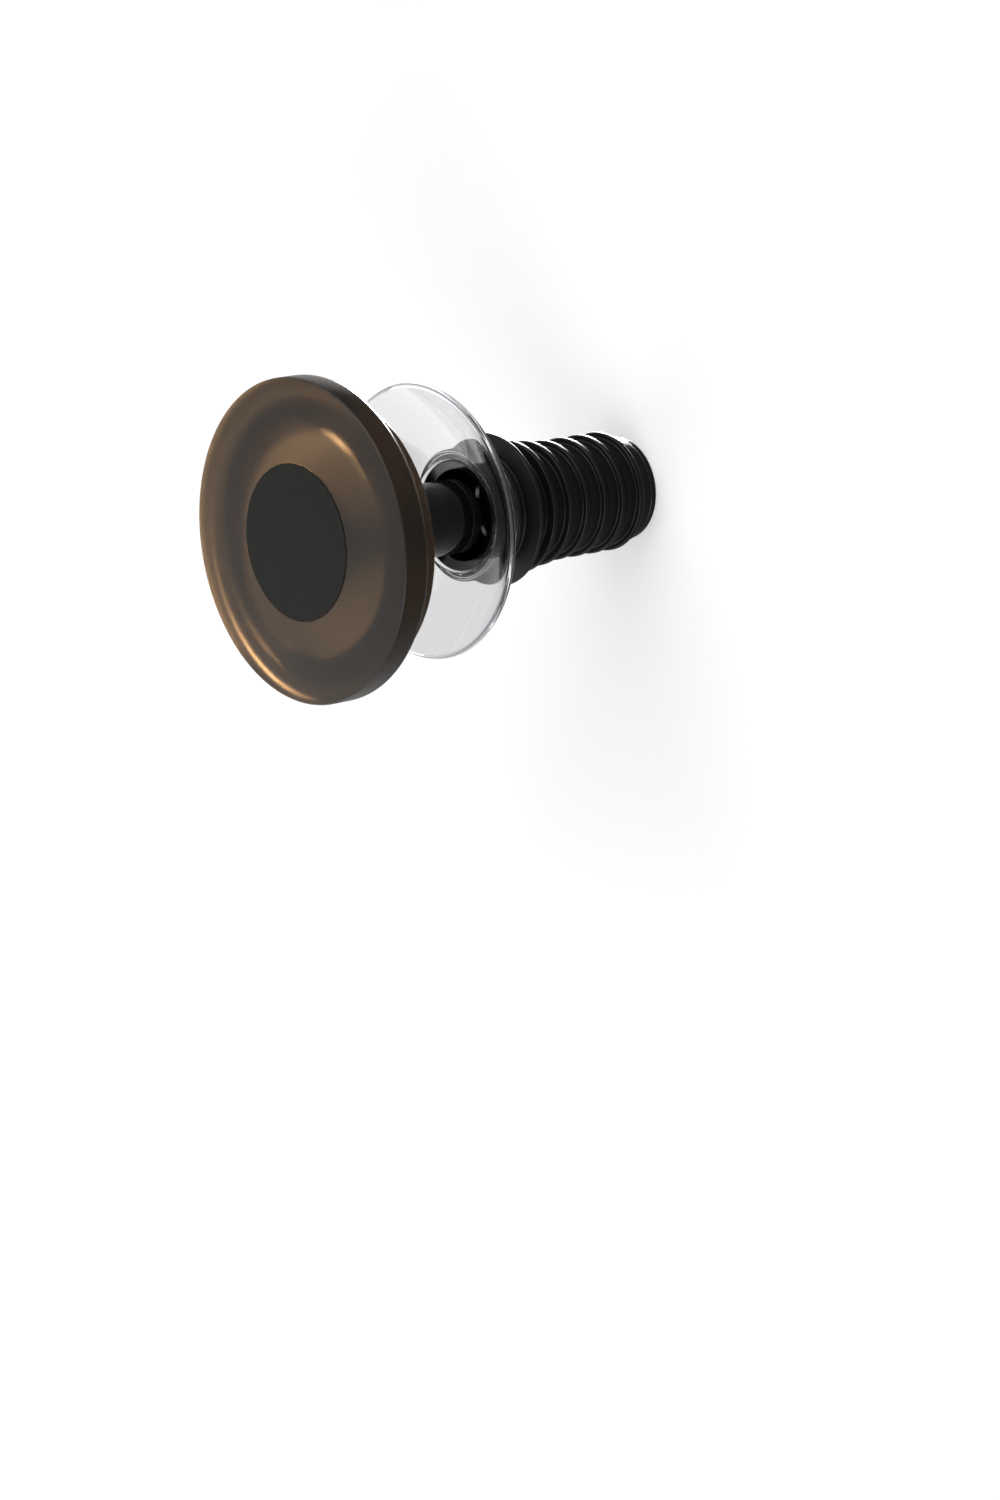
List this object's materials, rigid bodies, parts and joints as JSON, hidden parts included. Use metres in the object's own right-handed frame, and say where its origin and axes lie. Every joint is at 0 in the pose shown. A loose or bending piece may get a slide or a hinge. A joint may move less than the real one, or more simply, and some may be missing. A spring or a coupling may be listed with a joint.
{
  "type": "wine pourer stopper",
  "caption": "Push-pull pourer and stopper for a wine bottle: a lipped plug, a clear drip bowl and a round smoked cap on a sliding stem that opens or closes the throat.",
  "frame": {"origin": "on the axis at the lower end of the plug", "axes": "+Z along the axis from the plug to the cap, as the part stands in the mouth of an upright bottle; X and Y across it, one rib of the core along +X"},
  "size_m": [0.0508, 0.0508, 0.0685],
  "materials": {
    "smoked_plastic": "satin, translucent smoke brown",
    "pad_plastic": "matt black",
    "black_plastic": "gloss black",
    "seal_silicone": "satin black",
    "clear_plastic": "clear, polished",
    "sleeve_silicone": "satin black"
  },
  "bodies": {
    "pourer": {"funnel": "clear_plastic", "plug_core": "black_plastic", "plug_sleeve": "sleeve_silicone", "guide_pin": "black_plastic"},
    "cap": {"cap_disc": "smoked_plastic", "cap_pad": "pad_plastic", "stem": "black_plastic", "stem_seal": "seal_silicone"}
  },
  "joints": [
    {"name": "cap_slide", "type": "slide", "parent": "pourer", "child": "cap", "axis": [0, 0, 1], "range_m": [-0.0152, 0]}
  ]
}
